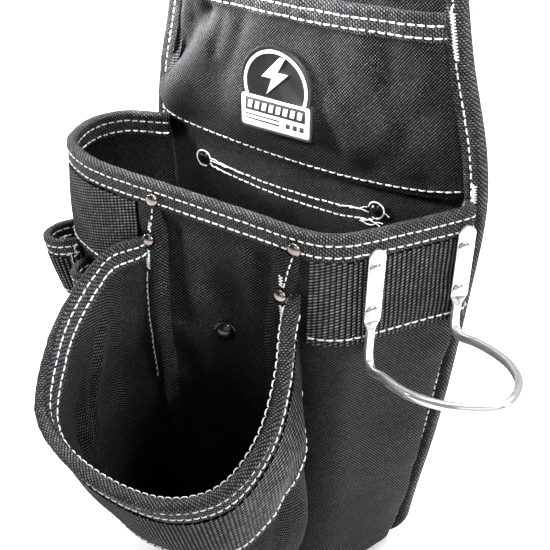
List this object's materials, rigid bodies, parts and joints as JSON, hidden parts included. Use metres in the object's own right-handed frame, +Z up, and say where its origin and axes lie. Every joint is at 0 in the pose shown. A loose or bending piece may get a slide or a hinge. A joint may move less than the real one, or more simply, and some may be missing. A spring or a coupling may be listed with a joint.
{
  "type": "electrician tool pouch",
  "caption": "Belt-hung tool pouch: deep main pocket, scooped front pocket, flat upper pocket, side tool sleeves and a wire hammer loop on a stiffened back panel.",
  "frame": {"origin": "middle of the belt tunnel on the back of the pouch, half-way along the belt's path and half-way through the gap it fills", "axes": "+Z up as the pouch hangs, +Y towards the wearer's hip, -Y the pouch's front, +X the side with the hammer loop"},
  "size_m": [0.3604, 0.1983, 0.4544],
  "materials": {
    "nylon": "coarse ballistic nylon, matte",
    "lining": "plain coated cloth, matte",
    "grosgrain": "ribbed binding tape",
    "webbing": "heavy webbing with upright ribs",
    "thread": "bonded thread, off-white",
    "board": "plain",
    "badge_rubber": "moulded, satin",
    "badge_print": "raised print, satin",
    "chrome": "polished",
    "nickel": "antique nickel, polished",
    "black_metal": "black enamel, gloss"
  },
  "bodies": {
    "root": {"panel_front_cover": "nylon", "panel_rear_cover": "nylon", "upper_pocket": "nylon", "main_pocket_wall": "nylon", "corner_tab_left": "nylon", "corner_tab_right": "nylon", "front_pocket_wall": "nylon", "tool_sleeve_rear": "nylon", "tool_sleeve_front": "nylon", "belt_tunnel_strap": "nylon", "panel_edge_binding": "grosgrain", "upper_pocket_hem": "grosgrain", "main_rim_binding": "grosgrain", "front_rim_binding": "grosgrain", "tool_sleeve_rear_binding": "grosgrain", "tool_sleeve_front_binding": "grosgrain", "webbing_band_left": "webbing", "webbing_band_right": "webbing", "front_webbing_band": "webbing", "tool_sleeve_rear_webbing": "webbing", "tool_sleeve_front_webbing": "webbing", "rivet_upper_left": "nickel", "rivet_lower_left": "nickel", "rivet_upper_right": "nickel", "rivet_lower_right": "nickel", "hammer_loop": "chrome", "hammer_loop_rivet_front_1": "chrome", "hammer_loop_rivet_front_2": "chrome", "hammer_loop_rivet_rear_1": "chrome", "hammer_loop_rivet_rear_2": "chrome", "front_snap_rivet": "black_metal", "tunnel_rivet_left": "black_metal", "tunnel_rivet_right": "black_metal", "main_pocket_floor": "lining", "panel_stiffener": "board", "badge_base": "badge_rubber", "badge_emblem": "badge_print"}
  },
  "joints": []
}
